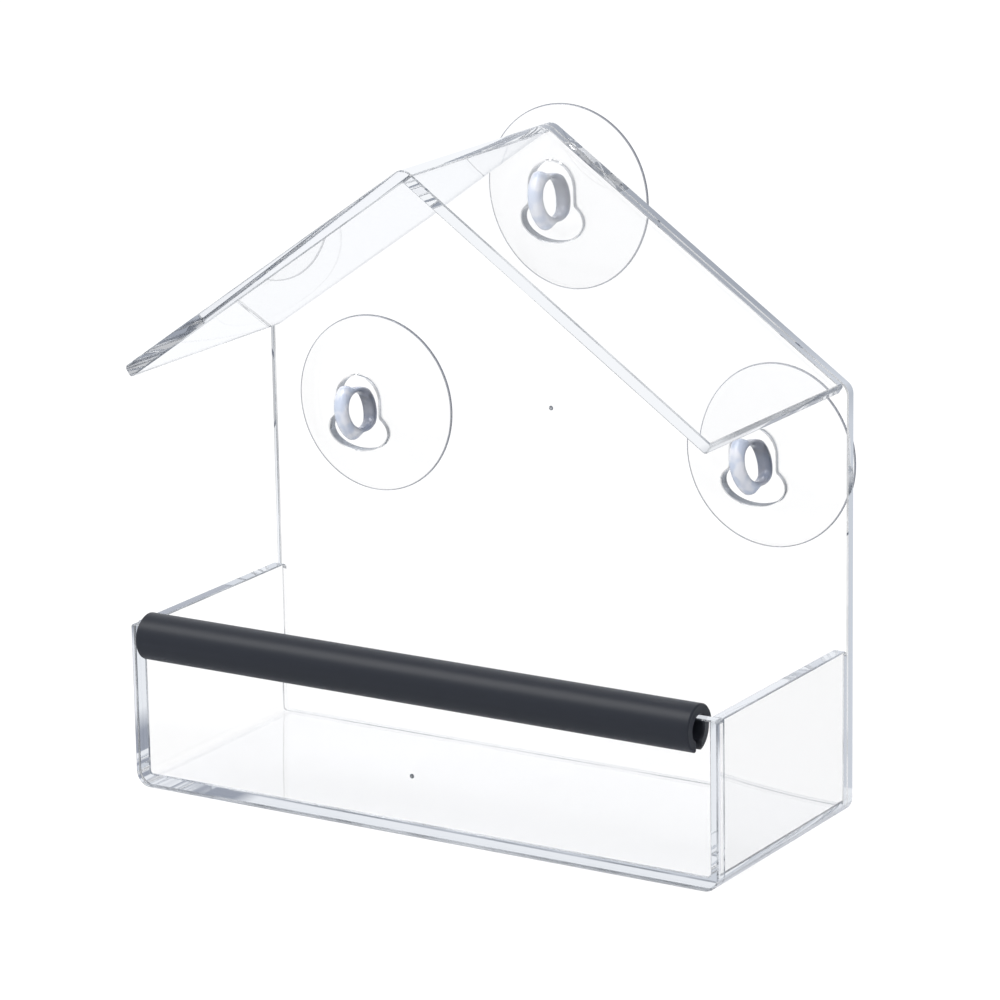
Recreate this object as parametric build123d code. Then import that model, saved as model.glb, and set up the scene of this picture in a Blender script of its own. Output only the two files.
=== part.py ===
from build123d import *
from math import cos, radians, sin, sqrt, tan
import os

# Window bird feeder. A house-shaped back panel of clear sheet carries a seed
# tray at its foot and a bent roof along its gable. A rubber perch is pushed
# over the tray's front wall, and three suction cups through keyholes in the
# panel hold the house to a window pane.
# Lengths in millimetres. X runs along the width, Y from the birds' side
# towards the pane, Z up. The origin is the middle of the tray's underside.

# House, cut and bent from one gauge of clear sheet
sheet = 2.8
house_width = 150.0
tray_depth = 58.4
tray_height = 38.0
ridge_height = 148.6
roof_pitch = 34.75
eave_setback = 0.9
bend_radius = 0.7
shoulder_round = 3.0
polish_round = 0.8
edge_ease = 0.2
heel_round = 1.6

# Perch, a slit rubber tube
perch_radius = 5.3
perch_bore_radius = 2.9
perch_end_gap = 1.6
perch_offset = -0.5
perch_grip_gap = 0.02
lip_round = 0.45

# Keyholes in the back panel
slot_radius = 5.6
slot_rise = 2.3
entry_width = 15.6
entry_height = 9.2
entry_drop = 4.85
keyhole_fillet = 0.8

# Suction cups, one moulding each
cup_spacing = 103.0
side_cup_height = 77.1
top_cup_drop = 18.3
cup_radius = 20.75
cup_reach = 6.7
rim_thickness = 0.9
crown_setback = 0.9
crown_wall = 2.6
hollow_flat_radius = 1.5
neck_clearance = 0.3
collar_overlap = 1.9
collar_gap = 0.2
eyelet_radius = 6.7
eyelet_wall = 2.6
eyelet_width = 3.6
eyelet_bevel = 0.8
eyelet_reach = 6.5
eyelet_gap = 0.3
eyelet_lean = 8.0
left_cup_turn = 11.0
right_cup_turn = 15.0
top_cup_turn = 8.0

# Shares of the sheet that a rounded edge may take, and of an edge that a bevel takes
round_share = 0.45
bevel_share = 0.3

# Worked out from the sizes above
pitch = radians(roof_pitch)
half_width = house_width / 2
outer_bend = bend_radius + sheet
house_depth = tray_depth + sheet
front_y = -house_depth / 2
panel_y = front_y + tray_depth
pane_side_y = panel_y + sheet
shoulder_height = ridge_height - half_width * tan(pitch)
neck_radius = slot_radius - neck_clearance
collar_radius = slot_radius + collar_overlap
rim_y = pane_side_y + cup_reach
edge_round = min(polish_round, sheet * round_share)


def front_prism(outline, near_y, far_y):
    """Solid whose outline is drawn as seen from the front, between two depths."""
    elevation = Plane(origin=(0, near_y, 0), x_dir=(1, 0, 0), z_dir=(0, -1, 0))
    return extrude(elevation * outline, amount=far_y - near_y, dir=(0, 1, 0))


def corners_at_height(outline, height):
    """Corners of a flat outline that lie at the given height."""
    near = edge_ease / 2
    return outline.vertices().filter_by_position(Axis.Y, height - near, height + near)


def keyhole():
    """Keyhole outline about the cup's axis: a wide oval entry under a narrower slot."""
    slot = Pos(0, slot_rise) * Circle(slot_radius)
    slot += Pos(0, (slot_rise - entry_drop) / 2) * Rectangle(2 * slot_radius, slot_rise + entry_drop)
    return slot + Pos(0, -entry_drop) * Ellipse(entry_width / 2, entry_height / 2)


def cup_centres():
    """Axes of the left, right and top cups as X and Z."""
    half_spacing = cup_spacing / 2
    top_height = ridge_height - top_cup_drop
    return [(-half_spacing, side_cup_height), (half_spacing, side_cup_height), (0, top_height)]


def back_panel():
    """House-shaped plate with three keyholes, its gable flush with the roof's outer face."""
    outline = Polygon(
        (-half_width, 0),
        (half_width, 0),
        (half_width, shoulder_height),
        (0, ridge_height),
        (-half_width, shoulder_height),
        align=None,
    )
    outline = fillet(corners_at_height(outline, 0), outer_bend)
    outline = fillet(corners_at_height(outline, shoulder_height), shoulder_round)
    outline = fillet(corners_at_height(outline, ridge_height), outer_bend)
    panel = front_prism(outline, panel_y, pane_side_y)
    outer_edges = panel.edges().filter_by(Plane.XZ)
    panel = chamfer(outer_edges, edge_ease)
    for x, z in cup_centres():
        opening = front_prism(Pos(x, z) * keyhole(), panel_y - sheet, pane_side_y + sheet)
        entry_z = z - entry_drop + keyhole_fillet / 2
        slot_z = z + slot_rise - keyhole_fillet / 2
        waist = opening.edges().filter_by(Axis.Y).filter_by_position(Axis.Z, entry_z, slot_z)
        panel -= fillet(waist, keyhole_fillet)
    return panel


def roof():
    """One strip bent along the ridge, its eave ends cut square to the slopes."""
    eave_x = half_width - eave_setback
    eave_top = ridge_height - eave_x * tan(pitch)
    under_x = eave_x - sheet * sin(pitch)
    under_z = eave_top - sheet * cos(pitch)
    under_ridge = ridge_height - sheet / cos(pitch)
    outline = Polygon(
        (-eave_x, eave_top),
        (-under_x, under_z),
        (0, under_ridge),
        (under_x, under_z),
        (eave_x, eave_top),
        (0, ridge_height),
        align=None,
    )
    outline = fillet(corners_at_height(outline, eave_top), edge_round)
    outline = fillet(corners_at_height(outline, under_z), edge_round)
    outline = fillet(corners_at_height(outline, under_ridge), bend_radius)
    outline = fillet(corners_at_height(outline, ridge_height), outer_bend)
    strip = front_prism(outline, front_y, panel_y)
    return chamfer(strip.faces().sort_by(Axis.Y)[0].edges(), edge_ease)


def tray_trough():
    """One strip bent twice into the tray's side walls and floor, open at both ends."""
    inner_x = half_width - sheet
    outline = Polygon(
        (-half_width, tray_height),
        (-half_width, 0),
        (half_width, 0),
        (half_width, tray_height),
        (inner_x, tray_height),
        (inner_x, sheet),
        (-inner_x, sheet),
        (-inner_x, tray_height),
        align=None,
    )
    outline = fillet(corners_at_height(outline, 0), outer_bend)
    outline = fillet(corners_at_height(outline, sheet), bend_radius)
    strip = front_prism(outline, front_y + sheet, panel_y)
    heels = strip.edges().filter_by(Axis.X).group_by(Axis.Z)[-1].group_by(Axis.Y)[-1]
    strip = fillet(heels, heel_round)
    top_edges = strip.edges().filter_by(Axis.Y).group_by(Axis.Z)[-1]
    return chamfer(top_edges, edge_ease)


def tray_front():
    """Front wall of the tray, across the ends of the bent strip."""
    outline = Polygon(
        (-half_width, 0),
        (half_width, 0),
        (half_width, tray_height),
        (-half_width, tray_height),
        align=None,
    )
    outline = fillet(corners_at_height(outline, 0), outer_bend)
    outline = fillet(corners_at_height(outline, tray_height), edge_round)
    wall = front_prism(outline, front_y, front_y + sheet)
    return chamfer(wall.faces().sort_by(Axis.Y)[0].edges(), edge_ease)


def perch_sleeve():
    """Rubber tube slit along its underside, pushed down over the tray's front wall."""
    length = house_width - 2 * sheet - 2 * perch_end_gap
    slit = sheet + 2 * perch_grip_gap
    section = Circle(perch_radius) - Circle(perch_bore_radius)
    section -= Rectangle(slit, 2 * perch_radius, align=(Align.CENTER, Align.MAX))
    lips = section.vertices().group_by(Axis.Y)[0]
    section = fillet(lips, lip_round)
    seat = sqrt(perch_bore_radius ** 2 - (sheet / 2) ** 2)
    centre = Pos(perch_offset, front_y + sheet / 2, tray_height - seat)
    return centre * extrude(Plane.YZ * section, amount=length / 2, both=True)


def cup_bowl():
    """Collar and domed bowl of a suction cup, turned about the cup's axis."""
    collar_y = pane_side_y + collar_gap
    crown_y = pane_side_y + crown_setback
    hollow_y = crown_y + crown_wall
    rim_front_y = rim_y - rim_thickness
    bevel = rim_thickness * bevel_share
    edge_radius = cup_radius - bevel
    dome_sag = rim_front_y - crown_y
    dome_radius = (edge_radius ** 2 + dome_sag ** 2) / (2 * dome_sag)
    hollow_sag = rim_y - hollow_y
    hollow_radius = (edge_radius ** 2 + hollow_sag ** 2) / (2 * hollow_sag)

    def dome(radius):
        """Point on the bowl's front surface at a distance from the axis."""
        return (radius, crown_y + dome_radius - sqrt(dome_radius ** 2 - radius ** 2))

    def hollow(radius):
        """Point on the bowl's hollow rear surface at a distance from the axis."""
        return (radius, hollow_y + hollow_radius - sqrt(hollow_radius ** 2 - radius ** 2))

    middle = (collar_radius + edge_radius) / 2
    flat_edge = hollow(hollow_flat_radius)
    section = [
        Polyline(
            flat_edge,
            (0, flat_edge[1]),
            (0, collar_y),
            (collar_radius, collar_y),
            dome(collar_radius),
        ),
        ThreePointArc(dome(collar_radius), dome(middle), dome(edge_radius)),
        Polyline(
            dome(edge_radius),
            (cup_radius, rim_front_y + bevel),
            (cup_radius, rim_y - bevel),
            hollow(edge_radius),
        ),
        ThreePointArc(hollow(edge_radius), hollow(edge_radius / 2), flat_edge),
    ]
    return revolve(make_face(section), axis=Axis.Y, revolution_arc=360)


def neck_and_eyelet():
    """Upright ring that starts in the bowl's crown, passes the keyhole and ends in front of it."""
    head_y = panel_y - eyelet_gap
    root_y = pane_side_y + crown_setback + crown_wall / 2
    reach_y = panel_y - 2 * eyelet_reach
    envelope = Polygon(
        (0, reach_y),
        (2 * eyelet_radius, reach_y),
        (2 * eyelet_radius, head_y),
        (neck_radius, head_y),
        (neck_radius, root_y),
        (0, root_y),
        align=None,
    )
    envelope = revolve(envelope, axis=Axis.Y, revolution_arc=360)
    section = Rectangle(eyelet_wall, eyelet_width)
    section = chamfer(section.vertices(), eyelet_bevel)
    section = chamfer(section.vertices(), eyelet_bevel * bevel_share)
    section = Pos(eyelet_radius - eyelet_wall / 2, 0) * section
    ring = revolve(Plane.XZ * section, axis=Axis.Z, revolution_arc=360)
    centre = Pos(0, panel_y - eyelet_reach + eyelet_radius, 0)
    ring = centre * Rot(0, 0, -eyelet_lean) * Rot(0, 90, 0) * ring
    return ring & envelope


def suction_cup(x, z, turn):
    """One-piece cup: bowl behind the panel, neck through it, eyelet in front."""
    return Pos(x, 0, z) * Rot(0, -turn, 0) * (cup_bowl() + neck_and_eyelet())


left_centre, right_centre, top_centre = cup_centres()
nodes = {
    "back_panel": back_panel(),
    "roof": roof(),
    "tray_trough": tray_trough(),
    "tray_front": tray_front(),
    "perch_sleeve": perch_sleeve(),
    "suction_cup_left": suction_cup(*left_centre, left_cup_turn),
    "suction_cup_right": suction_cup(*right_centre, right_cup_turn),
    "suction_cup_top": suction_cup(*top_centre, top_cup_turn),
}

os.makedirs("parts", exist_ok=True)
for name, solid in nodes.items():
    export_step(solid, f"parts/{name}.step")
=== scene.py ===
"""Looks of a clear, house-shaped window bird feeder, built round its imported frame."""

import logging
import math
from collections.abc import Callable
from dataclasses import dataclass
from enum import Enum

import bmesh
import bpy
from mathutils import Matrix, Vector

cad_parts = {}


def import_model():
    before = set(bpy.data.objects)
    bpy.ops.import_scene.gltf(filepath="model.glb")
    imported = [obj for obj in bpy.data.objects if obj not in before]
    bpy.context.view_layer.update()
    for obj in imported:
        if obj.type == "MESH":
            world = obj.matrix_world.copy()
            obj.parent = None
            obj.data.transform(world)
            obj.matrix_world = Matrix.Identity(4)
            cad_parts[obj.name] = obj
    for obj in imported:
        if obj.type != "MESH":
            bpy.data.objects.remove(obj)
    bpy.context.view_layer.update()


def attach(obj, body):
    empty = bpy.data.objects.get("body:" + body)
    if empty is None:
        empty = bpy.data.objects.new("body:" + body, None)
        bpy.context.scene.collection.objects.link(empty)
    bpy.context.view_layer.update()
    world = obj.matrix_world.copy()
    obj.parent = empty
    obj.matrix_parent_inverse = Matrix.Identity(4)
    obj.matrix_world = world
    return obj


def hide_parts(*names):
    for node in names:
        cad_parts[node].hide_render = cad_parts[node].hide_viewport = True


LOG = logging.getLogger("feeder")
MM = 0.001
# Name of the points' value that sets the strength of the painted edge shade.
LINE = "line"
# Strength of the painted edge shade on a hole's soft edges and on its wall.
HOLE_LINE = 0.1
HOLE_WALL = 1.6
# The walls of round corners under this radius get a line of painted edge shade.
LINE_RADIUS = 0.9
MITRE_LIMIT = 0.5
HEEL_STEPS = 5
SHEET_CREASE = 30.0
CUP_CREASE = 35.0
MIRRORED_ONCE = 0.5
WHITE = (1.0, 1.0, 1.0)

Point = tuple[float, float]
Place = tuple[float, float, float]
Outline = list[Place]
Colour = tuple[float, float, float]
Socket = bpy.types.NodeSocket
Inputs = dict[str | int, Socket | Place | float]
Ring = list[bmesh.types.BMVert]

CLEAR: Inputs = {"Base Color": WHITE, "Transmission Weight": 1.0, "Roughness": 0.0}


class Slot(Enum):
    """Material slots of the record."""

    SHEET = "clear_acrylic"
    RUBBER = "black_rubber"
    CUP = "clear_vinyl"


class Body(Enum):
    """Bodies that the pieces ride on."""

    HOUSE = "house"
    LEFT = "cup_left"
    RIGHT = "cup_right"
    TOP = "cup_top"


# Place of each cup's axis across the width and in height, and the cup's turn in degrees.
SEATS: dict[Body, Place] = {
    Body.LEFT: (-51.5, 77.1, 11.0),
    Body.RIGHT: (51.5, 77.1, 15.0),
    Body.TOP: (0.0, 130.3, 8.0),
}


class Tone(Enum):
    """Names of the values that a cup's points carry for its finish: milky share and painted shade.
    """

    MILKY = "milky"
    # Strength of the painted shade.
    DARK = "dark"


@dataclass(frozen=True)
class Corner:
    """One corner of an outline.

    Attributes:
        x: Place across the width, in millimetres.
        z: Height, in millimetres.
        radius: Radius that rounds the corner, in millimetres.
        clear: Whether the corner's wall stays free of the painted edge shade.
    """

    x: float
    z: float
    radius: float = 0.0
    clear: bool = False


def rounded_outline(corners: list[Corner], step_deg: float = 7.5) -> Outline:
    """Turns a list of corners into a closed outline with round corners.

    The walls of small round corners get a line of painted edge shade.

    Args:
        corners: Corners in order round the outline.
        step_deg: Largest turn between two points of a round corner.

    Returns:
        Points of the outline in millimetres, each with the strength of the painted edge shade on
        the wall after it.
    """
    points: Outline = []
    count = len(corners)
    for index, corner in enumerate(corners):
        here = Vector((corner.x, corner.z))
        before = corners[index - 1]
        after = corners[(index + 1) % count]
        to_before = (Vector((before.x, before.z)) - here).normalized()
        to_after = (Vector((after.x, after.z)) - here).normalized()
        if corner.radius <= 0:
            points.append((here.x, here.y, 0.0))
            continue
        opening = to_before.angle(to_after)
        reach = corner.radius / math.tan(opening / 2)
        centre = here + (to_before + to_after).normalized() * (
            corner.radius / math.sin(opening / 2)
        )
        start = here + to_before * reach - centre
        turn = math.pi - opening
        side = 1.0 if to_before.x * to_after.y - to_before.y * to_after.x < 0 else -1.0
        steps = max(2, math.ceil(math.degrees(turn) / step_deg))
        for step in range(steps + 1):
            angle = side * turn * step / steps
            spoke = Matrix.Rotation(angle, 2) @ start
            drawn = corner.radius < LINE_RADIUS and step < steps and not corner.clear
            points.append((centre.x + spoke.x, centre.y + spoke.y, 1.0 if drawn else 0.0))
    return points


def arc(centre: Point, radii: Point, start: float, end: float, steps: int) -> list[Point]:
    """Lists the points of an arc of an oval.

    Args:
        centre: Centre of the oval.
        radii: Half its width and half its height.
        start: Angle of the first point.
        end: Angle of the last point.
        steps: Lines between the points.

    Returns:
        The points in order.
    """
    turns = [start + (end - start) * step / steps for step in range(steps + 1)]
    return [
        (centre[0] + radii[0] * math.cos(t), centre[1] + radii[1] * math.sin(t)) for t in turns
    ]


def clamped(share: float) -> float:
    """Keeps a share between nothing and the whole."""
    return min(1.0, max(0.0, share))


def eased(share: float) -> float:
    """Keeps a share between nothing and the whole, with a gentle start and end."""
    share = clamped(share)
    return share * share * (3 - 2 * share)


def inset(outline: Outline, depth: float) -> list[Point]:
    """Moves a closed outline in towards its own material.

    Args:
        outline: Outline, its material on the left as it is followed.
        depth: Distance to move it, in millimetres.

    Returns:
        Points of the moved outline.
    """
    moved: list[Point] = []
    for index, (x, z, _) in enumerate(outline):
        before, after = outline[index - 1], outline[(index + 1) % len(outline)]
        first = Vector((x - before[0], z - before[1])).normalized()
        second = Vector((after[0] - x, after[1] - z)).normalized()
        middle = Vector((-first.y - second.y, first.x + second.x)).normalized()
        reach = depth / max(MITRE_LIMIT, middle.dot(Vector((-first.y, first.x))))
        moved.append((x + middle.x * reach, z + middle.y * reach))
    return moved


def turned_left(outline: Outline) -> Outline:
    """Orders an outline so that its inside lies on the left as it is followed.

    Args:
        outline: Outline in either order.

    Returns:
        The outline in that order.
    """
    following = outline[1:] + outline[:1]
    area = sum(a[0] * b[1] - b[0] * a[1] for a, b in zip(outline, following))
    if area > 0:
        return outline
    return [(x, z, outline[index - 1][2]) for index, (x, z, _) in enumerate(outline)][::-1]


def lowered(points: list[Point], drop: float) -> list[Point]:
    """Lowers the points in the upper half of an outline."""
    middle = (min(z for _, z in points) + max(z for _, z in points)) / 2
    return [(x, z - drop if z > middle else z) for x, z in points]


def wall_levels(
    edge: list[Point], face: list[Point], ends: Point, soft: float, heel: float
) -> list[tuple[list[Point], float]]:
    """Lists the loops of a prism's wall from its front face to its rear face.

    Args:
        edge: Outline of the wall.
        face: Outline of the flat faces.
        ends: Places of the front and rear faces along Y, in millimetres.
        soft: Width of the soft edges, in millimetres.
        heel: Radius that rounds the upper rear corners, in millimetres.

    Returns:
        Each loop with its place along Y.
    """
    near, far = ends
    levels = [(face, near), (edge, near + soft)]
    if heel <= soft:
        return levels + [(edge, far - soft), (face, far)]
    steep = math.asin(1 - soft / heel)
    for step in range(HEEL_STEPS + 1):
        turn = steep * step / HEEL_STEPS
        loop = lowered(edge, heel * (1 - math.cos(turn)))
        levels.append((loop, far - heel * (1 - math.sin(turn))))
    return levels + [(lowered(face, heel - soft), far)]


def prism_mesh(
    name: str, outline: Outline, holes: list[Outline], ends: Point, soft: float, heel: float = 0.0
) -> bpy.types.Mesh:
    """Builds a closed prism with soft edges whose outline is drawn as seen from the front.

    Args:
        name: Name of the mesh.
        outline: Outer loop in X and Z, in millimetres.
        holes: Inner loops in X and Z, in millimetres.
        ends: Places of the front and rear faces along Y, in millimetres.
        soft: Width of the soft edges, in millimetres.
        heel: Radius that rounds the upper rear corners, in millimetres.

    Returns:
        The mesh, in metres.
    """
    work = bmesh.new()
    grey = work.verts.layers.float.new(LINE)
    caps: list[list[bmesh.types.BMEdge]] = [[], []]
    for loop in [turned_left(outline)] + [turned_left(hole)[::-1] for hole in holes]:
        edge = [(x, z) for x, z, _ in loop]
        levels = wall_levels(edge, inset(loop, soft), ends, soft, heel)
        rings = [
            [work.verts.new((x * MM, y * MM, z * MM)) for x, z in points] for points, y in levels
        ]
        # Strength of the painted edge shade: full on the outer loop, and on the holes set by
        # HOLE_LINE, HOLE_WALL and each point.
        for ring in rings:
            tone = HOLE_WALL if ring in rings[1:-1] else HOLE_LINE
            for vert, point in zip(ring, loop):
                vert[grey] = tone * point[2] if caps[0] else 1.0
        count = len(loop)
        for level, (front, rear) in enumerate(zip(rings, rings[1:])):
            for index in range(count):
                after = (index + 1) % count
                quad = work.faces.new((front[index], front[after], rear[after], rear[index]))
                # Soft edges and marked walls take the material of painted edge shade.
                soft_edge = level in (0, len(rings) - 2)
                quad.material_index = 1 if soft_edge or loop[index][2] > 0 else 0
                quad.smooth = True
        for cap, ring in zip(caps, (rings[0], rings[-1])):
            cap += [work.edges.get((ring[i], ring[(i + 1) % count])) for i in range(count)]
    for cap in caps:
        bmesh.ops.triangle_fill(work, use_beauty=True, use_dissolve=False, edges=cap)
    bmesh.ops.recalc_face_normals(work, faces=list(work.faces))
    mesh = finished_mesh(work, name)
    shade(mesh, SHEET_CREASE)
    return mesh


def skin(work: bmesh.types.BMesh, rings: list[Ring]) -> None:
    """Lays faces between neighbouring rings of points, some of which may be single points.

    Args:
        work: The working mesh.
        rings: The rings in order.
    """
    for first, second in zip(rings, rings[1:]):
        steps = max(len(first), len(second))
        for step in range(steps):
            after = (step + 1) % steps
            corners = [first[step % len(first)], first[after % len(first)]]
            corners += [second[after % len(second)], second[step % len(second)]]
            work.faces.new(list(dict.fromkeys(corners)))
    bmesh.ops.recalc_face_normals(work, faces=list(work.faces))


def turned_mesh(name: str, profile: list[Point], steps: int) -> bpy.types.Mesh:
    """Builds a closed solid of revolution about the Y axis.

    Args:
        name: Name of the mesh.
        profile: Distances from the axis and places along it, in millimetres,
            from one end on the axis to the other.
        steps: Faces round the axis.

    Returns:
        The mesh, in metres.
    """
    work = bmesh.new()
    rings: list[Ring] = []
    for radius, along in profile:
        count = steps if radius > 0 else 1
        turns = [2 * math.pi * step / count for step in range(count)]
        points = [(radius * MM * math.cos(t), along * MM, radius * MM * math.sin(t)) for t in turns]
        rings.append([work.verts.new(point) for point in points])
    skin(work, rings)
    return finished_mesh(work, name)


def finished_mesh(work: bmesh.types.BMesh, name: str) -> bpy.types.Mesh:
    """Turns a working mesh into a lasting one.

    Args:
        work: The working mesh, which is freed.
        name: Name of the mesh.

    Returns:
        The mesh.
    """
    mesh = bpy.data.meshes.new(name)
    work.to_mesh(mesh)
    work.free()
    return mesh


def joined(name: str, parts: list[bpy.types.Mesh]) -> bpy.types.Mesh:
    """Joins closed meshes into one mesh of several shells.

    Args:
        name: Name of the new mesh.
        parts: The closed meshes.

    Returns:
        The new mesh.
    """
    work = bmesh.new()
    for part in parts:
        work.from_mesh(part)
    return finished_mesh(work, name)


@dataclass(frozen=True)
class GateMark:
    """The small low dome that a gate leaves on a sheet's front face.

    Attributes:
        x: Place across the width, in millimetres.
        z: Height, in millimetres.
        grey: Strength of the painted edge shade on it.
        radius: Radius of the dome.
        height: Height of the dome over the face.
        sink: Depth that it reaches into the sheet.
        steps: Faces round the dome.
    """

    x: float
    z: float
    grey: float
    radius: float = 0.55
    height: float = 0.14
    sink: float = 0.1
    steps: int = 24

    def add_to(self, sheet: bpy.types.Mesh, face: float) -> bpy.types.Mesh:
        """Adds the mark to a sheet.

        Args:
            sheet: The sheet's mesh.
            face: Place of the sheet's front face along Y, in millimetres.

        Returns:
            The sheet with its mark.
        """
        profile = [(0.0, self.sink), (self.radius, self.sink / 2)]
        profile += [(self.radius * 0.93, -self.height * 0.4)]
        profile += [(self.radius * 0.6, -self.height * 0.85), (0.0, -self.height)]
        mark = turned_mesh("mark", profile, self.steps)
        mark.transform(Matrix.Translation(Vector((self.x, face, self.z)) * MM))
        mark.shade_smooth()
        # The whole mark takes the material of painted edge shade.
        for side in mark.polygons:
            side.material_index = 1
        layer = mark.attributes.new(LINE, "FLOAT", "POINT")
        layer.data.foreach_set("value", [self.grey] * len(mark.vertices))
        return joined(sheet.name, [sheet, mark])


def shade(mesh: bpy.types.Mesh, sharp_deg: float) -> None:
    """Shades a mesh smooth, with edges sharper than an angle kept crisp."""
    mesh.shade_smooth()
    mesh.set_sharp_from_angle(angle=math.radians(sharp_deg))


def place_piece(
    mesh: bpy.types.Mesh, name: str, body: Body, node: str
) -> bpy.types.Object:
    """Puts a mesh into the scene and ties it to the frame.

    Args:
        mesh: The piece's mesh.
        name: The piece's name.
        body: Body that it moves with.
        node: CAD node that it stands for.

    Returns:
        The piece.
    """
    piece = bpy.data.objects.new(name, mesh)
    bpy.context.scene.collection.objects.link(piece)
    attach(piece, body.value)
    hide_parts(node)
    LOG.info("piece %s on %s: %d faces", name, body.value, len(mesh.polygons))
    return piece


class NodeTree:
    """Short hand for building the nodes of one material or world."""

    def __init__(self, owner: bpy.types.Material | bpy.types.World, output: str) -> None:
        """Starts with nothing but the output node.

        Args:
            owner: Material or world that gets the nodes.
            output: Name of the output node's type.
        """
        owner.use_nodes = True
        self.owner = owner
        self.nodes = owner.node_tree.nodes
        self.links = owner.node_tree.links
        self.nodes.clear()
        self.output = self.nodes.new(output)

    @classmethod
    def for_material(cls, name: str) -> "NodeTree":
        """Starts a new material."""
        return cls(bpy.data.materials.new(name), "ShaderNodeOutputMaterial")

    @classmethod
    def for_world(cls, name: str) -> "NodeTree":
        """Starts a new world."""
        return cls(bpy.data.worlds.new(name), "ShaderNodeOutputWorld")

    def end(self, surface: Socket) -> bpy.types.Material | bpy.types.World:
        """Links the finished look to the output and gives the material or world."""
        self.links.new(surface, self.output.inputs["Surface"])
        return self.owner

    def add(self, kind: str, inputs: Inputs | None = None, **values: object) -> bpy.types.Node:
        """Adds a node.

        Args:
            kind: Name of the node's type.
            inputs: Values of its inputs, or sockets that are linked to them.
            **values: Properties to set on it.

        Returns:
            The node.
        """
        node = self.nodes.new(kind)
        for key, value in values.items():
            setattr(node, key, value)
        for key, value in (inputs or {}).items():
            socket = node.inputs[key]
            if isinstance(value, Socket):
                self.links.new(value, socket)
            else:
                socket.default_value = (*value, 1) if socket.type == "RGBA" else value
        return node

    def place(self) -> Socket:
        """Adds the place on the piece."""
        return self.add("ShaderNodeTexCoord").outputs["Object"]

    def carried(self, name: str) -> Socket:
        """Adds the value that the mesh's points carry under a name."""
        return self.add("ShaderNodeAttribute", attribute_name=name).outputs["Fac"]

    def clouds(self, place: Socket, scale: float, detail: float = 2.0) -> Socket:
        """Adds random clouds, with their number per metre and their finer layers."""
        inputs: Inputs = {"Vector": place, "Scale": scale, "Detail": detail}
        return self.add("ShaderNodeTexNoise", inputs).outputs["Fac"]

    def waves(self, height: Socket, strength: float, depth: float = 0.1) -> Socket:
        """Adds waves to a surface, with their depth in millimetres."""
        inputs: Inputs = {"Height": height, "Strength": strength, "Distance": depth * MM}
        return self.add("ShaderNodeBump", inputs).outputs["Normal"]

    def ramp(
        self, value: Socket, source: Point, target: Point = (0.0, 1.0), smooth: bool = False
    ) -> Socket:
        """Adds a ramp from one range of values to another.

        Args:
            value: The value.
            source: Range of the value.
            target: Range of the result.
            smooth: Whether the ramp starts and ends gently.

        Returns:
            The result.
        """
        inputs = dict(zip(("From Min", "From Max", "To Min", "To Max"), source + target))
        kind = "SMOOTHSTEP" if smooth else "LINEAR"
        ramp = self.add("ShaderNodeMapRange", inputs | {"Value": value}, interpolation_type=kind)
        return ramp.outputs["Result"]

    def calculated(self, operation: str, first: Socket, second: Socket | float) -> Socket:
        """Adds a calculation with two numbers."""
        node = self.add("ShaderNodeMath", {0: first, 1: second}, operation=operation)
        return node.outputs["Value"]

    def vector(self, operation: str, *inputs: Socket | Place) -> bpy.types.Node:
        """Adds a calculation with vectors."""
        return self.add("ShaderNodeVectorMath", dict(enumerate(inputs)), operation=operation)

    def blend(self, share: Socket, first: Colour | Socket, second: Colour | Socket) -> Socket:
        """Adds a blend of two colours, with the second one's share."""
        inputs: Inputs = {"Factor": share, "A": first, "B": second}
        return self.add("ShaderNodeMix", inputs, data_type="RGBA").outputs["Result"]

    def mixed(self, share: Socket, first: Socket, second: Socket) -> Socket:
        """Adds a mix of two looks, with the second one's share."""
        return self.add("ShaderNodeMixShader", {0: share, 1: first, 2: second}).outputs["Shader"]

    def mirrored(self, count: float) -> Socket:
        """Adds a test that is one for light that was mirrored more often than a count."""
        turns = self.add("ShaderNodeLightPath").outputs["Glossy Depth"]
        return self.calculated("GREATER_THAN", turns, count)

    def surface(self, inputs: Inputs) -> Socket:
        """Adds a surface with the given values."""
        return self.add("ShaderNodeBsdfPrincipled", inputs).outputs["BSDF"]

    def end_clear(
        self, surface: Socket, shadow: Colour = (0.95, 0.95, 0.96)
    ) -> bpy.types.Material:
        """Ends the material of a clear piece, which lets light through into its shadow.

        Args:
            surface: Look of the piece.
            shadow: Colour of that light.

        Returns:
            The material.
        """
        shaded = self.add("ShaderNodeLightPath").outputs["Is Shadow Ray"]
        through = self.add("ShaderNodeBsdfTransparent", {"Color": shadow}).outputs["BSDF"]
        return self.end(self.mixed(shaded, surface, through))


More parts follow.
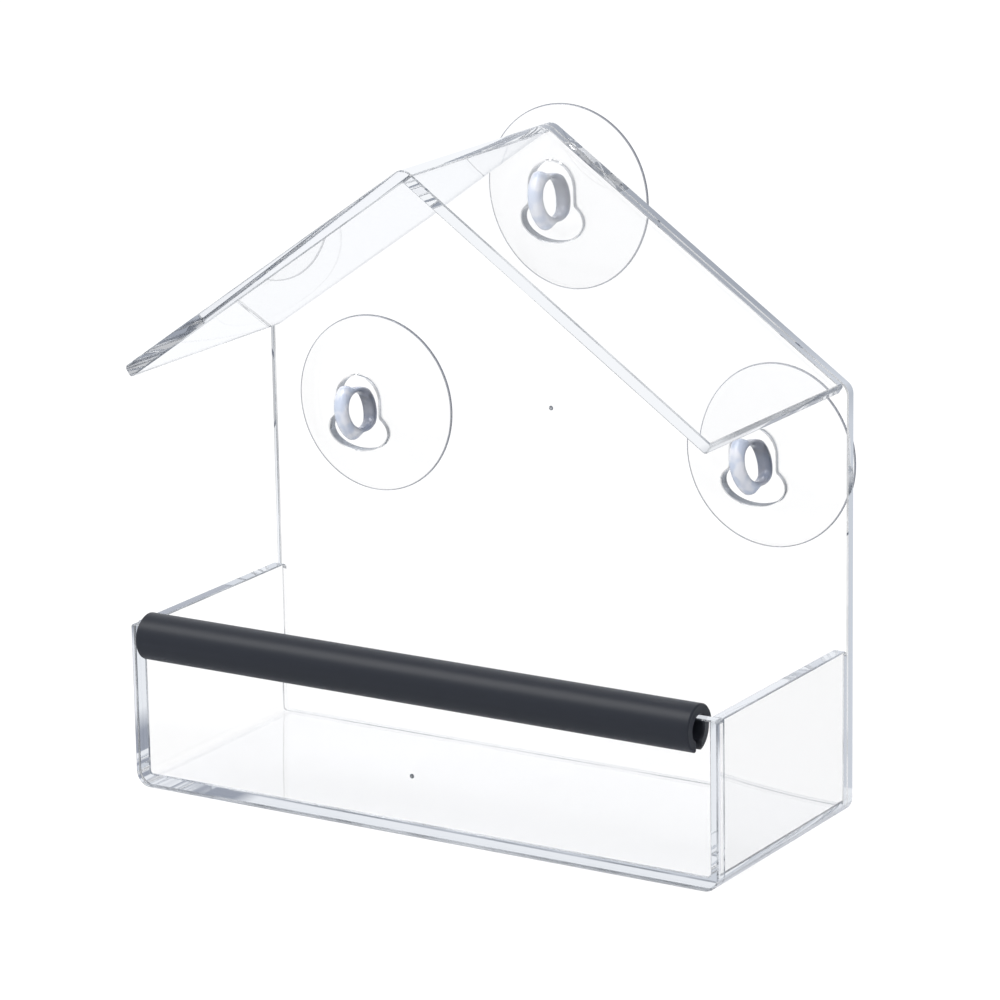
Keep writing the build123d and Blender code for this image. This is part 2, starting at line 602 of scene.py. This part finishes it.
@dataclass(frozen=True)
class ClearPlastic:
    """A clear plastic that lets light through, with a painted glow of painted light and painted
    shade.

    Attributes:
        name: Name of the material.
        painted_glow: Colour of the painted glow that stands in for light led along inside the
            plastic.
        low: Colour of the painted glow in the lower part.
        change: Heights between which the lower part ends, in metres.
        deepest: Mirror turns after which light is replaced by the painted glow.
        corner: Line along Y that a corner of painted shade follows.
        painted_shade_reach: Distances from it between which that painted shade ends, if there is
            one.
        corner_painted_shade: Colour of the painted glow in that corner, a painted shade.
        ior: Refractive index.
        ripple: Strength of the faint waves on the surface.
        ripple_scale: Waves per metre.
    """

    name: str
    painted_glow: Colour
    low: Colour
    change: Point = (0.085, 0.1)
    deepest: float = 3.5
    corner: Place = (-0.075, 0.0, 0.0)
    painted_shade_reach: Point = (0.0, 0.0)
    corner_painted_shade: Colour = (0.3, 0.33, 0.4)
    ior: float = 1.49
    ripple: float = 0.05
    ripple_scale: float = 40.0

    def build(self) -> bpy.types.Material:
        """Builds the material."""
        tree = NodeTree.for_material(self.name)
        place = tree.place()
        normal = tree.waves(tree.clouds(place, self.ripple_scale), self.ripple)
        surface = tree.surface(CLEAR | {"IOR": self.ior, "Normal": normal})
        # Painted glow: one colour below a height, another above it, and a painted shade round the
        # corner.
        height = tree.add("ShaderNodeSeparateXYZ", {"Vector": place}).outputs["Z"]
        light = tree.blend(tree.ramp(height, self.change), self.low, self.painted_glow)
        if self.painted_shade_reach[1] > 0:
            flat = tree.vector("MULTIPLY", place, (1.0, 0.0, 1.0)).outputs["Vector"]
            away = tree.vector("DISTANCE", flat, self.corner).outputs["Value"]
            light = tree.blend(tree.ramp(away, self.painted_shade_reach), self.corner_painted_shade, light)
        # The painted glow, an emission, replaces light that was mirrored more often than deepest.
        glow = tree.add("ShaderNodeEmission", {"Color": light}).outputs["Emission"]
        return tree.end_clear(tree.mixed(tree.mirrored(self.deepest), surface, glow))


@dataclass(frozen=True)
class EdgeLine:
    """The thin grey line of painted shade on the soft edge of a clear sheet.

    Attributes:
        name: Name of the material.
        ior: Refractive index of the sheet.
        shade: Colour of the painted shade.
        roughness: Roughness of the line.
        shares: Least and greatest share of the painted shade.
        streak_scale: Streaks per metre.
        streak_detail: Finer layers of streaks.
        streaks: Values of the streaks between which the share changes.
        shadow: Colour of the light in the sheet's shadow.
    """

    name: str
    ior: float = 1.49
    shade: Colour = (0.12, 0.135, 0.16)
    roughness: float = 0.3
    shares: Point = (0.25, 0.65)
    streak_scale: float = 60.0
    streak_detail: float = 3.0
    streaks: Point = (0.35, 0.6)
    shadow: Colour = (0.9, 0.9, 0.92)

    def build(self) -> bpy.types.Material:
        """Builds the material."""
        tree = NodeTree.for_material(self.name)
        streaks = tree.clouds(tree.place(), self.streak_scale, self.streak_detail)
        share = tree.ramp(streaks, self.streaks, self.shares)
        clear = tree.surface(CLEAR | {"IOR": self.ior})
        grey = tree.surface({"Base Color": self.shade, "Roughness": self.roughness})
        # Share of painted shade, broken by streaks and set by the points' value.
        part = tree.calculated("MULTIPLY", share, tree.carried(LINE))
        return tree.end_clear(tree.mixed(part, clear, grey), self.shadow)


@dataclass(frozen=True)
class ClearVinyl:
    """Soft clear PVC, a little milky where it is thick, with painted shade at grazing angles and
    where its points carry it.

    Attributes:
        name: Name of the material.
        ior: Refractive index.
        roughness: Roughness of the clear part.
        milky_roughness: Roughness of the milky part.
        ripple: Strength of the faint waves on the surface.
        ripple_scale: Waves per metre.
        outline: Colour of the painted shade where the plastic is seen along its surface.
        painted_outline_from: Facing value at which the painted shade sets in.
        milk: Lightest colour of the milky part.
        haze: Darkest colour of its soft streaks.
        streak_scale: Streaks per metre.
        streak_detail: Finer layers of streaks.
        streaks: Values of the streaks between which the haze sets in.
    """

    name: str
    ior: float = 1.53
    roughness: float = 0.08
    milky_roughness: float = 0.12
    ripple: float = 0.08
    ripple_scale: float = 260.0
    outline: Colour = (0.09, 0.105, 0.15)
    painted_outline_from: float = 0.62
    milk: Colour = (0.92, 0.94, 1.0)
    haze: Colour = (0.66, 0.73, 0.88)
    streak_scale: float = 300.0
    streak_detail: float = 1.0
    streaks: Point = (0.42, 0.62)

    def build(self) -> bpy.types.Material:
        """Builds the material."""
        tree = NodeTree.for_material(self.name)
        place = tree.place()
        normal = tree.waves(tree.clouds(place, self.ripple_scale), self.ripple)
        # Painted shade where the surface is seen along it.
        facing = tree.add("ShaderNodeLayerWeight").outputs["Facing"]
        along = tree.ramp(facing, (self.painted_outline_from, 1.0), smooth=True)
        tone = tree.blend(along, WHITE, self.outline)
        inputs = {"Base Color": tone, "IOR": self.ior, "Roughness": self.roughness}
        clear = tree.surface(CLEAR | inputs | {"Normal": normal})
        streaks = tree.clouds(place, self.streak_scale, self.streak_detail)
        haze = tree.blend(tree.ramp(streaks, self.streaks, smooth=True), self.milk, self.haze)
        # Painted shade: the points' own painted shade or the grazing one, whichever is stronger.
        dark = tree.calculated("MAXIMUM", tree.carried(Tone.DARK.value), along)
        inputs = {"Base Color": tree.blend(dark, haze, self.outline), "Normal": normal}
        milky = tree.surface(inputs | {"Roughness": self.milky_roughness})
        return tree.end_clear(tree.mixed(tree.carried(Tone.MILKY.value), clear, milky))


@dataclass(frozen=True)
class Rubber:
    """Matte black rubber with a fine grain.

    Attributes:
        name: Name of the material.
        shade: Colour of the rubber.
        roughness: Roughness of the surface.
        gloss: Level of its mirrored light.
        grain: Strength of the grain.
        grain_scale: Grains per metre.
        grain_detail: Finer layers of grain.
        grain_depth: Depth of the grain, in millimetres.
    """

    name: str
    shade: Colour = (0.019, 0.022, 0.030)
    roughness: float = 0.38
    gloss: float = 0.22
    grain: float = 0.25
    grain_scale: float = 2600.0
    grain_detail: float = 3.0
    grain_depth: float = 0.03

    def build(self) -> bpy.types.Material:
        """Builds the material."""
        tree = NodeTree.for_material(self.name)
        grain = tree.clouds(tree.place(), self.grain_scale, self.grain_detail)
        inputs: Inputs = {
            "Base Color": self.shade,
            "Roughness": self.roughness,
            "Specular IOR Level": self.gloss,
            "Normal": tree.waves(grain, self.grain, self.grain_depth),
        }
        return tree.end(tree.surface(inputs))


@dataclass(frozen=True)
class Keyhole:
    """A round slot for a cup's neck that opens into a wide oval entry below.

    Attributes:
        x: Cup axis across the width, in millimetres.
        z: Cup axis height, in millimetres.
        slot: Radius of the slot.
        rise: Height of the slot's centre over the cup axis.
        oval: Half the entry's width and half its height.
        drop: Depth of the entry's centre under the cup axis.
        fillet: Height of the fillet between slot and entry.
        painted_wall_shade: Least and greatest strength of the painted shade on its wall, which is
            darkest at the lower left.
        steps: Lines on half the entry, on each fillet and on half the slot's top.
    """

    x: float
    z: float
    slot: float = 5.6
    rise: float = 2.3
    oval: Point = (7.8, 4.6)
    drop: float = 4.85
    fillet: float = 0.9
    painted_wall_shade: Point = (0.35, 1.3)
    steps: tuple[int, int, int] = (18, 5, 14)

    def right_half(self) -> list[Point]:
        """Lists the points of the right half about the cup axis, from the bottom up."""
        entry_steps, fillet_steps, slot_steps = self.steps
        low = math.acos(self.slot / self.oval[0])
        points = arc((0.0, -self.drop), self.oval, -math.pi / 2, low, entry_steps)
        waist = points.pop()
        before, after = points[-1], (self.slot, waist[1] + self.fillet)
        for step in range(1, fillet_steps):
            t = step / fillet_steps
            weights = ((1 - t) ** 2, 2 * t * (1 - t), t**2)
            x, z = (
                sum(weight * value for weight, value in zip(weights, values))
                for values in zip(before, waist, after)
            )
            points.append((x, z))
        slot = (self.slot, self.slot)
        return points + [after] + arc((0.0, self.rise), slot, 0.0, math.pi / 2, slot_steps)

    def outline(self) -> Outline:
        """Lists the points of the whole keyhole, each with the strength of the painted shade on its
        wall.
        """
        right = self.right_half()
        points = right + [(-x, z) for x, z in reversed(right[1:-1])]
        least, most = self.painted_wall_shade
        outline: Outline = []
        for x, z in points:
            # Painted shade: the wall is darker towards the lower left.
            share = clamped(0.5 - (x + z) / sum(self.oval))
            outline.append((self.x + x, self.z + z, least + (most - least) * share))
        return outline


@dataclass
class House:
    """The four clear sheets, cemented into a house with a seed tray.

    Attributes:
        finish: Finish of the tray's sheets, with its painted glow and painted shade.
        roof_finish: Finish of the roof, with its painted glow and painted shade.
        panel_finish: Finish of the back panel, with its painted glow and painted shade.
        painted_edge_shade: Painted shade on the soft edges.
        sheet: Thickness of every sheet.
        width: Width of the house.
        front: Front face's place along Y.
        panel: Back panel's front face along Y.
        rear: Back panel's rear face along Y.
        tray_height: Height of the tray.
        ridge: Height of the ridge.
        pitch: Slope of the roof, in radians.
        eave_setback: Distance of the roof's ends from the panel's sides.
        bend: Inner radius of the bends.
        shoulder_round: Radius of the panel's shoulders.
        tip: Radius of the roof's ends and of the front wall's upper corners.
        heel: Radius of the tray walls' upper rear corners.
        edge: Width of the soft edge of every sheet.
        seam: Depth that cemented sheets share.
        keyholes: The keyholes in the back panel.
        panel_gate: The back panel's gate mark.
        front_gate: The tray front's gate mark.
    """

    finish: ClearPlastic
    roof_finish: ClearPlastic
    panel_finish: ClearPlastic
    painted_edge_shade: EdgeLine
    sheet: float = 2.8
    width: float = 150.0
    front: float = -30.6
    panel: float = 27.8
    rear: float = 30.6
    tray_height: float = 38.0
    ridge: float = 148.6
    pitch: float = math.radians(34.75)
    eave_setback: float = 0.9
    bend: float = 0.7
    shoulder_round: float = 3.0
    tip: float = 0.8
    heel: float = 1.6
    edge: float = 0.3
    seam: float = 0.04
    keyholes: tuple[Keyhole, ...] = tuple(Keyhole(x, z) for x, z, _ in SEATS.values())
    panel_gate: GateMark = GateMark(0.4, 83.6, 0.7)
    front_gate: GateMark = GateMark(-0.9, 14.0, 1.4)

    def build_panel(self) -> bpy.types.Object:
        """Builds the back panel with its keyholes."""
        half = self.width / 2
        bend = self.bend + self.sheet
        shoulder = self.ridge - half * math.tan(self.pitch)
        corners = [
            Corner(-half, 0, bend),
            Corner(half, 0, bend),
            Corner(half, shoulder, self.shoulder_round),
            Corner(0, self.ridge, bend),
            Corner(-half, shoulder, self.shoulder_round),
        ]
        holes = [keyhole.outline() for keyhole in self.keyholes]
        ends = (self.panel, self.rear)
        mesh = prism_mesh("panel_sheet", rounded_outline(corners), holes, ends, self.edge)
        mesh = self.panel_gate.add_to(mesh, self.panel)
        return place_piece(mesh, "panel_sheet", Body.HOUSE, "back_panel")

    def build_roof(self) -> bpy.types.Object:
        """Builds the bent roof strip."""
        eave = self.width / 2 - self.eave_setback
        top = self.ridge - eave * math.tan(self.pitch)
        under = eave - self.sheet * math.sin(self.pitch)
        under_z = top - self.sheet * math.cos(self.pitch)
        inner_ridge = self.ridge - self.sheet / math.cos(self.pitch)
        corners = [
            Corner(-eave, top, self.tip),
            Corner(-under, under_z, self.tip),
            Corner(0, inner_ridge, self.bend),
            Corner(under, under_z, self.tip),
            Corner(eave, top, self.tip),
            Corner(0, self.ridge, self.bend + self.sheet),
        ]
        ends = (self.front, self.panel + self.seam)
        mesh = prism_mesh("roof_sheet", rounded_outline(corners), [], ends, self.edge)
        return place_piece(mesh, "roof_sheet", Body.HOUSE, "roof")

    def build_trough(self) -> bpy.types.Object:
        """Builds the tray's bent walls and floor."""
        half = self.width / 2
        inner = half - self.sheet
        corners = [
            Corner(-half, self.tray_height, self.edge),
            Corner(-half, 0, self.bend + self.sheet),
            Corner(half, 0, self.bend + self.sheet),
            Corner(half, self.tray_height, self.edge),
            Corner(inner, self.tray_height, self.edge),
            Corner(inner, self.sheet, self.bend),
            Corner(-inner, self.sheet, self.bend, clear=True),
            Corner(-inner, self.tray_height, self.edge),
        ]
        ends = (self.front + self.sheet - self.seam, self.panel + self.seam)
        mesh = prism_mesh("tray_sheet", rounded_outline(corners), [], ends, self.edge, self.heel)
        return place_piece(mesh, "tray_sheet", Body.HOUSE, "tray_trough")

    def build_front(self) -> bpy.types.Object:
        """Builds the tray's front wall."""
        half = self.width / 2
        corners = [
            Corner(-half, 0, self.bend + self.sheet),
            Corner(half, 0, self.bend + self.sheet),
            Corner(half, self.tray_height, self.tip),
            Corner(-half, self.tray_height, self.tip),
        ]
        ends = (self.front, self.front + self.sheet)
        mesh = prism_mesh("front_sheet", rounded_outline(corners), [], ends, self.edge)
        mesh = self.front_gate.add_to(mesh, self.front)
        return place_piece(mesh, "front_sheet", Body.HOUSE, "tray_front")

    def build(self) -> None:
        """Builds and dresses the four sheets."""
        material = self.finish.build()
        line = self.painted_edge_shade.build()
        sheets = (
            (self.build_panel(), self.panel_finish.build()),
            (self.build_roof(), self.roof_finish.build()),
            (self.build_trough(), material),
            (self.build_front(), material),
        )
        for sheet, look in sheets:
            sheet.data.materials.append(look)
            sheet.data.materials.append(line)


@dataclass
class Perch:
    """The slit rubber tube over the tray's front wall.

    Attributes:
        finish: Finish of the tube.
        radius: Outer radius.
        bore: Radius of the bore.
        slit: Half the width of the slit.
        lip: Radius of the lips' round edges.
        ends: Places of the two ends across the width.
        axis: Place of the tube's axis in Y and Z.
        soft_end: Width of the soft edge at each end.
        steps: Lines round each half of the tube and round each lip.
    """

    finish: Rubber
    radius: float = 5.3
    bore: float = 2.9
    slit: float = 1.42
    lip: float = 0.45
    ends: Point = (-71.1, 70.1)
    axis: Point = (-29.2, 35.46)
    soft_end: float = 0.3
    steps: tuple[int, int] = (48, 6)

    def section(self) -> list[Point]:
        """Cross section of the tube about its axis, the slit at its lowest point."""
        lip_x = self.slit + self.lip
        lip_z = -math.sqrt((self.radius - self.lip) ** 2 - lip_x**2)
        start = math.atan2(lip_z, lip_x)
        half = arc((0.0, 0.0), (self.radius,) * 2, math.pi / 2, start, self.steps[0])
        half += arc((lip_x, lip_z), (self.lip,) * 2, start, -math.pi, self.steps[1])[1:]
        inner = math.atan2(-math.sqrt(self.bore**2 - self.slit**2), self.slit)
        half += arc((0.0, 0.0), (self.bore,) * 2, inner, math.pi / 2, self.steps[0] // 2)
        mirrored = [(-x, z) for x, z in reversed(half[1:-1])]
        return half + mirrored

    def build(self) -> None:
        """Builds and dresses the tube."""
        section = [(x, z, 0.0) for x, z in self.section()]
        mesh = prism_mesh("perch_tube", section, [], self.ends, self.soft_end)
        for face in mesh.polygons:
            face.material_index = 0
        turn = Matrix.Rotation(-math.pi / 2, 4, "Z")
        mesh.transform(Matrix.Translation((0, self.axis[0] * MM, self.axis[1] * MM)) @ turn)
        mesh.materials.append(self.finish.build())
        place_piece(mesh, "perch_tube", Body.HOUSE, "perch_sleeve")


@dataclass
class SuctionCup:
    """A clear cup: a domed bowl behind the panel, a ring through its keyhole.

    Attributes:
        finish: The cup's material.
        radius: Radius of the rim.
        rim: Place of the rim along Y.
        bead: Radius of the rim's round edge.
        rim_line: Share of painted shade in the line round the rim.
        crown: Front of the bowl's crown along Y.
        wall: Thickness of the crown.
        collar: Radii between which the bowl's front swells towards the panel.
        collar_front: Front of that swelling along Y.
        waist: Places along Y between which the ring narrows for the keyhole.
        neck: Half the ring's height inside the keyhole.
        brow: Half the height that the ring's front would have without its waist.
        ring_centre: Centre of the ring along Y.
        ring_radius: Middle radius of the ring.
        ring_wall: Half the ring's thickness.
        ring_width: Half the ring's width.
        ring_round: Power that shapes the ring's section, one for an oval.
        ring_squash: Share of its depth that the ring's rear half keeps.
        ring_milk: Milky value of the ring outside and round its hole.
        ring_painted_shade: Strength of the painted shade round the ring's hole.
        ring_painted_shade_from: Share of the ring's wall at which the painted shade ends.
        lean: Lean of the ring about the vertical, in degrees.
        steps: Faces round the bowl.
        profile_steps: Faces across the hollow, round the rim's edge and across the dome.
        ring_steps: Faces round the ring and round its section.
    """

    finish: bpy.types.Material
    radius: float = 20.75
    rim: float = 37.3
    bead: float = 0.45
    rim_line: float = 0.75
    crown: float = 31.5
    wall: float = 2.6
    collar: Point = (5.5, 10.5)
    collar_front: float = 30.8
    waist: Point = (24.0, 27.5)
    neck: float = 5.25
    brow: float = 7.5
    ring_centre: float = 28.0
    ring_radius: float = 5.4
    ring_wall: float = 1.3
    ring_width: float = 1.8
    ring_round: float = 0.8
    ring_squash: float = 0.88
    ring_milk: Point = (0.6, 0.88)
    ring_painted_shade: float = 0.78
    ring_painted_shade_from: float = 0.35
    lean: float = 8.0
    steps: int = 128
    profile_steps: tuple[int, int, int] = (20, 12, 40)
    ring_steps: tuple[int, int] = (112, 36)

    def bowl(self) -> bpy.types.Mesh:
        """Builds the bowl with its round rim and its collar."""
        edge = self.radius - self.bead
        hollow = self.crown + self.wall
        hollow_sag = self.rim - hollow
        hollow_ball = (edge**2 + hollow_sag**2) / (2 * hollow_sag)
        dome_sag = self.rim - 2 * self.bead - self.crown
        dome_ball = (edge**2 + dome_sag**2) / (2 * dome_sag)
        hollow_steps, bead_steps, dome_steps = self.profile_steps
        profile: list[Point] = [(0.0, hollow)]
        for step in range(1, hollow_steps + 1):
            radius = edge * step / hollow_steps
            profile.append((radius, hollow + hollow_ball - math.sqrt(hollow_ball**2 - radius**2)))
        bead = (edge, self.rim - self.bead)
        profile += arc(bead, (self.bead,) * 2, math.pi / 2, -math.pi / 2, bead_steps)[1:]
        for step in range(1, dome_steps + 1):
            radius = edge * (1 - step / dome_steps)
            share = (self.collar[1] - radius) / (self.collar[1] - self.collar[0])
            swell = (self.crown - self.collar_front) * eased(share)
            dome = self.crown + dome_ball - math.sqrt(dome_ball**2 - radius**2)
            profile.append((radius, dome - swell))
        return self.toned(turned_mesh("cup", profile, self.steps), self.rim_tone)

    def toned(self, mesh: bpy.types.Mesh, tone: Callable[[Vector], Point]) -> bpy.types.Mesh:
        """Writes the values for the finish on a mesh's points.

        Args:
            mesh: The mesh.
            tone: Gives the milky value and the painted shade of a point.

        Returns:
            The same mesh.
        """
        values = [tone(vert.co / MM) for vert in mesh.vertices]
        for index, name in enumerate(Tone):
            layer = mesh.attributes.new(name.value, "FLOAT", "POINT")
            layer.data.foreach_set("value", [value[index] for value in values])
        return mesh

    def rim_tone(self, place: Vector) -> Point:
        """Gives the finish values of the bowl: clear, with a line of painted shade round the rim.
        """
        away = math.hypot(place.x, place.z)
        return (self.rim_line, 1.0) if away > self.radius - self.bead * 0.6 else (0.0, 0.0)

    def ring_tone(self, place: Vector) -> Point:
        """Gives the finish values of the ring: milky, with painted shade round its hole.

        Args:
            place: Point of the ring before it leans, in millimetres.

        Returns:
            The milky value and the painted shade.
        """
        away = math.hypot(place.y, place.z) - self.ring_radius
        # Painted shade on the inner part of the ring's wall, round its hole.
        inside = clamped(self.ring_painted_shade_from - away / self.ring_wall)
        outer, inner = self.ring_milk
        return (outer + (inner - outer) * inside, self.ring_painted_shade * inside)

    def narrowing(self, along: float) -> float:
        """Gives how much taller or flatter than a circle the ring is at a place along it.

        Args:
            along: Distance behind the ring's centre, in millimetres.

        Returns:
            Share of a circle's height that the ring's outside has there.
        """
        front, back = self.waist
        share = eased((self.ring_centre + along - front) / (back - front))
        return (self.brow + (self.neck - self.brow) * share) / (self.ring_radius + self.ring_wall)

    def ring(self) -> bpy.types.Mesh:
        """Builds the ring, oval in section and narrower where it stands in the keyhole."""
        work = bmesh.new()
        around, across = self.ring_steps
        rows: list[Ring] = []
        for step in range(around):
            turn = 2 * math.pi * step / around
            row: Ring = []
            for part in range(across):
                angle = 2 * math.pi * part / across
                away, aside = math.cos(angle), math.sin(angle)
                out = abs(away) ** self.ring_round * math.copysign(self.ring_wall, away)
                side = abs(aside) ** self.ring_round * math.copysign(self.ring_width, aside)
                along = (self.ring_radius + out) * math.cos(turn)
                high = (self.ring_radius + out) * math.sin(turn)
                outness = (out / self.ring_wall + 1) / 2
                high *= 1 - outness * (1 - self.narrowing(along))
                along *= self.ring_squash if along > 0 else 1.0
                row.append(work.verts.new((side * MM, along * MM, high * MM)))
            rows.append(row)
        skin(work, rows + rows[:1])
        mesh = self.toned(finished_mesh(work, "ring"), self.ring_tone)
        lean = Matrix.Rotation(math.radians(-self.lean), 4, "Z")
        mesh.transform(Matrix.Translation((0, self.ring_centre * MM, 0)) @ lean)
        return mesh

    def mesh(self) -> bpy.types.Mesh:
        """Builds the whole cup about its own axis."""
        cup = joined("cup", [self.bowl(), self.ring()])
        shade(cup, CUP_CREASE)
        cup.materials.append(self.finish)
        return cup


@dataclass
class CupSet:
    """The three cups in their keyholes.

    Attributes:
        finish: Finish of the cups.
    """

    finish: ClearVinyl

    def build(self) -> None:
        """Builds the cups from one mesh."""
        cup = SuctionCup(self.finish.build()).mesh()
        for body, (x, z, turn) in SEATS.items():
            turned = cup.copy()
            turned.transform(Matrix.Rotation(math.radians(-turn), 4, "Y"))
            turned.transform(Matrix.Translation((x * MM, 0, z * MM)))
            place_piece(turned, f"{body.value}_look", body, f"suction_{body.value}")


@dataclass
class Studio:
    """Pale floor, soft light and camera.

    Attributes:
        lens: Focal length, in millimetres.
        sensor: Width of the sensor, in millimetres.
        eye: Place of the camera.
        right: Direction of the frame's right side.
        up: Direction of the frame's top.
        wall: Direction of the white wall behind the feeder.
        wall_edge: Cosines at which the wall has ended and begins to be full.
        dim: Light of the rest of the room for mirrored rays.
        room_tone: Colour of the room for mirrored rays.
        floor_glow: Brightness that makes the floor white for the camera.
        floor_shade: Colour of the floor in lamp light.
        floor_share: Share of the glow in the floor's look.
        floor_reach: Distance from the middle to the floor's sides.
        floor_drop: Depth of the floor under the feeder.
        lamp_place: Place of the lamp.
        lamp_size: Width of the lamp.
        lamp_power: Power of the lamp, in watts.
        aim: Place that the lamp points at.
    """

    lens: float = 172.5
    sensor: float = 36.0
    eye: Place = (0.5375, -0.8605, 0.3431)
    right: Place = (0.8521, 0.5232, -0.0165)
    up: Place = (-0.123, 0.2307, 0.9652)
    wall: Place = (-0.53, 0.848, 0.0)
    wall_edge: Point = (0.55, 0.75)
    dim: float = 0.55
    room_tone: Colour = (0.94, 0.96, 1.0)
    floor_glow: float = 1.09
    floor_shade: Colour = (0.9, 0.9, 0.9)
    floor_share: float = 0.75
    floor_reach: float = 6.0
    floor_drop: float = 0.05 * MM
    lamp_place: Place = (-0.6, -0.5, 1.1)
    lamp_size: float = 0.7
    lamp_power: float = 8.0
    aim: Place = (0.0, 0.0, 0.07)

    def build_camera(self) -> None:
        """Places the camera at the photograph's viewing angle."""
        right = Vector(self.right).normalized()
        up = Vector(self.up)
        up = (up - right * up.dot(right)).normalized()
        back = right.cross(up)
        data = bpy.data.cameras.new("camera")
        data.lens = self.lens
        data.sensor_width = self.sensor
        camera = bpy.data.objects.new("camera", data)
        camera.matrix_world = Matrix(
            [[right[i], up[i], back[i], self.eye[i]] for i in range(3)] + [[0, 0, 0, 1]]
        )
        bpy.context.scene.collection.objects.link(camera)
        bpy.context.scene.camera = camera

    def add_room_light(self, tree: NodeTree, direction: Socket) -> Socket:
        """Adds the light that mirrored rays find: a white wall behind the feeder, grey elsewhere.

        Args:
            tree: Tree that gets the nodes.
            direction: Direction from the feeder.

        Returns:
            Strength of the light.
        """
        unit = tree.vector("NORMALIZE", direction).outputs["Vector"]
        toward = tree.vector("DOT_PRODUCT", unit, self.wall).outputs["Value"]
        return tree.ramp(toward, self.wall_edge, (self.dim, 1.0), smooth=True)

    def build_world(self) -> None:
        """Makes a white room that is greyer for light that was mirrored on its way."""
        tree = NodeTree.for_world("room")
        light = self.add_room_light(tree, tree.add("ShaderNodeTexCoord").outputs["Generated"])
        room = tree.add("ShaderNodeBackground", {"Color": self.room_tone, "Strength": light})
        white = tree.add("ShaderNodeBackground", {"Color": WHITE})
        looks = (white.outputs["Background"], room.outputs["Background"])
        bpy.context.scene.world = tree.end(tree.mixed(tree.mirrored(MIRRORED_ONCE), *looks))

    def build_floor(self) -> None:
        """Lays a pale floor that keeps a faint shadow."""
        mesh = bpy.data.meshes.new("floor")
        reach = self.floor_reach
        corners = [(-reach, -reach), (reach, -reach), (reach, reach), (-reach, reach)]
        mesh.from_pydata([(x, y, -self.floor_drop) for x, y in corners], [], [(0, 1, 2, 3)])
        floor = bpy.data.objects.new("floor", mesh)
        bpy.context.scene.collection.objects.link(floor)
        tree = NodeTree.for_material("floor")
        matte = tree.add("ShaderNodeBsdfDiffuse", {"Color": self.floor_shade}).outputs["BSDF"]
        glow = tree.add("ShaderNodeEmission", {"Strength": self.floor_glow}).outputs["Emission"]
        scattered = tree.add("ShaderNodeLightPath").outputs["Is Diffuse Ray"]
        share = tree.ramp(scattered, (0.0, 1.0), (self.floor_share, 0.0))
        pale = tree.mixed(share, matte, glow)
        light = self.add_room_light(tree, tree.add("ShaderNodeNewGeometry").outputs["Position"])
        room = tree.add("ShaderNodeEmission", {"Color": self.room_tone, "Strength": light})
        test = tree.mirrored(MIRRORED_ONCE)
        mesh.materials.append(tree.end(tree.mixed(test, pale, room.outputs["Emission"])))

    def build_lamp(self) -> None:
        """Hangs one soft lamp that points at the feeder."""
        data = bpy.data.lights.new("key_lamp", "AREA")
        data.shape = "SQUARE"
        data.size = self.lamp_size
        data.energy = self.lamp_power
        lamp = bpy.data.objects.new("key_lamp", data)
        place = Vector(self.lamp_place)
        turn = (Vector(self.aim) - place).to_track_quat("-Z", "Y")
        lamp.matrix_world = Matrix.Translation(place) @ turn.to_matrix().to_4x4()
        bpy.context.scene.collection.objects.link(lamp)

    def build(self) -> None:
        """Builds the whole set."""
        self.build_camera()
        self.build_world()
        self.build_floor()
        self.build_lamp()
        bpy.context.scene.view_settings.view_transform = "Standard"


def main() -> None:
    """Builds every piece in order."""
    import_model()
    logging.basicConfig(level=logging.INFO, format="%(message)s")
    Studio().build()
    # Colours of the painted glow in the sheets, which stands in for light led along inside them;
    # the darker ones are painted shade.
    tray_light, edge_light, gable_light = (0.84, 0.87, 0.92), (0.6, 0.64, 0.71), (0.32, 0.35, 0.41)
    top_light, roof_light = (0.36, 0.39, 0.45), (0.93, 0.95, 0.98)
    # The tray's painted glow is dark above 25 to 29 mm and has a painted shade round its lower left
    # corner.
    tray = ClearPlastic(
        "clear_sheet", top_light, tray_light, change=(0.025, 0.029), painted_shade_reach=(0.006, 0.011)
    )
    roof = ClearPlastic("clear_roof", roof_light, gable_light, change=(0.098, 0.101))
    panel = ClearPlastic("clear_panel", gable_light, edge_light)
    House(tray, roof, panel, EdgeLine("edge_line")).build()
    Perch(Rubber("black_rubber")).build()
    CupSet(ClearVinyl("clear_vinyl")).build()


if __name__ == "__main__":
    main()
